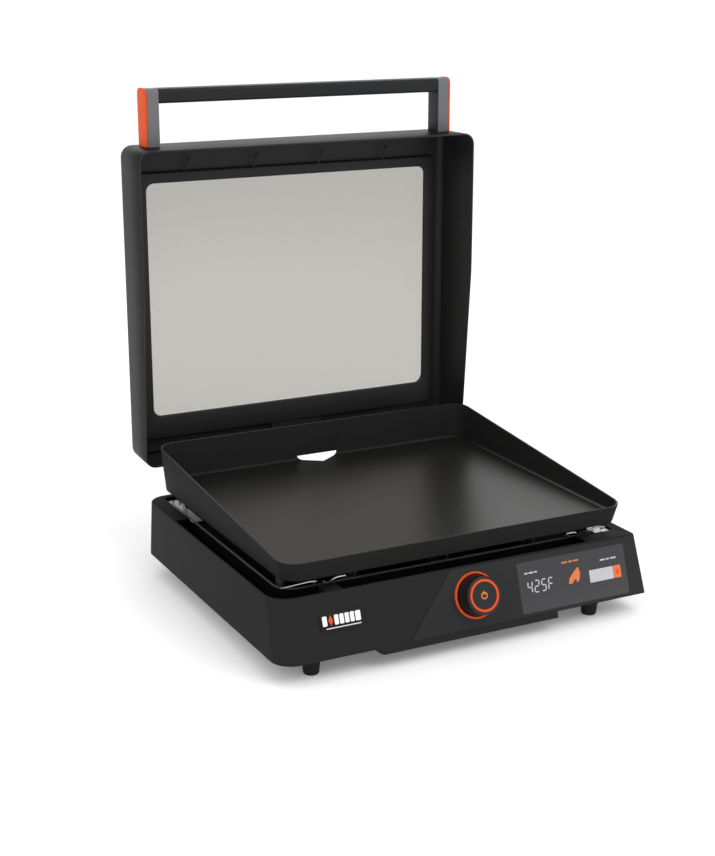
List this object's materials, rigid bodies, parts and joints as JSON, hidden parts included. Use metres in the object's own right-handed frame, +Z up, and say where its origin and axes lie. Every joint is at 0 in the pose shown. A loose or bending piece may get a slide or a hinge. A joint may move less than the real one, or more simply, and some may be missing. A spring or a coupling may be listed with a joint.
{
  "type": "electric griddle",
  "caption": "Countertop electric griddle: raised cooking plate on a shallow base with a sloped knob panel, under a hinged hood with a window and handle.",
  "frame": {"origin": "centre of the whole object's footprint, on the table under its feet, with the hood open", "axes": "+X to the appliance's right as seen from its panel, +Y to the rear, +Z up"},
  "size_m": [0.529, 0.5536, 0.6636],
  "materials": {
    "black_steel": "satin",
    "base_plastic": "satin",
    "panel_black": "satin",
    "lens_black": "gloss",
    "knob_black": "satin",
    "orange": "satin",
    "post_grey": "satin",
    "badge_white": "satin",
    "nonstick": "semi-gloss non-stick coating on cast aluminium",
    "aluminised": "satin",
    "element_sheath": "heat-darkened",
    "steel": "brushed",
    "ceramic": "satin",
    "brass": "satin",
    "board_green": "satin",
    "rubber": "matte",
    "glass": "clear"
  },
  "bodies": {
    "base": {"base_housing": "base_plastic", "corner_deck": "base_plastic", "bottom_cover": "black_steel", "control_fascia": "panel_black", "display_lens": "lens_black", "display_module": "board_green", "control_board": "board_green", "encoder_body": "steel", "dial_light_ring": "orange", "badge": "badge_white", "reflector_tray": "aluminised", "corner_shields": "aluminised", "heating_element": "element_sheath", "element_brackets": "steel", "element_terminals": "ceramic", "plate_supports": "steel", "spring_clips": "steel", "temperature_probe": "brass", "thermal_cutout": "ceramic", "power_board": "board_green", "power_inlet": "knob_black", "grease_chute": "steel", "cup_rails": "black_steel", "foot_front_left": "rubber", "foot_front_right": "rubber", "foot_rear_left": "rubber", "foot_rear_right": "rubber", "foot_screws": "steel", "cover_screws": "steel", "hinge_bracket_left": "black_steel", "hinge_bracket_right": "black_steel", "hinge_pin_left": "steel", "hinge_pin_right": "steel", "bracket_screws": "steel"},
    "cooking_plate": {"griddle_plate": "nonstick"},
    "cup": {"grease_cup": "steel"},
    "hood": {"hood_shell": "black_steel", "hinge_leaf_left": "black_steel", "hinge_leaf_right": "black_steel", "leaf_screws": "steel", "window_gasket": "rubber", "window_glass": "glass", "window_retainer": "black_steel", "retainer_screws": "steel", "hood_end_rail": "black_steel", "handle_bar": "black_steel", "handle_post_left": "post_grey", "handle_post_right": "post_grey", "handle_cap_left": "orange", "handle_cap_right": "orange", "handle_screws": "steel", "hood_bumpers": "rubber"},
    "control_knob": {"encoder_shaft": "steel", "knob": "knob_black", "knob_face_ring": "orange"},
    "push_plunger": {"encoder_plunger": "ceramic"}
  },
  "joints": [
    {"name": "hood_hinge", "type": "hinge", "parent": "base", "child": "hood", "pos_m": [0, 0.20758, 0.13185], "axis": [1, 0, 0], "range_deg": [0, 90]},
    {"name": "knob_push", "type": "slide", "parent": "base", "child": "push_plunger", "axis": [0, 0.9473, -0.3204], "range_m": [0, 0.0015], "stiffness_N_per_m": 1500, "springref_m": -0.001},
    {"name": "knob_turn", "type": "hinge", "parent": "push_plunger", "child": "control_knob", "pos_m": [0.0095, -0.24638, 0.06651], "axis": [0, -0.9473, 0.3204], "continuous": true},
    {"name": "cup_slide", "type": "slide", "parent": "base", "child": "cup", "axis": [0, 1, 0], "range_m": [0, 0.065]},
    {"name": "plate_lift", "type": "slide", "parent": "base", "child": "cooking_plate", "axis": [0, 0, 1], "range_m": [0, 0.003]}
  ]
}
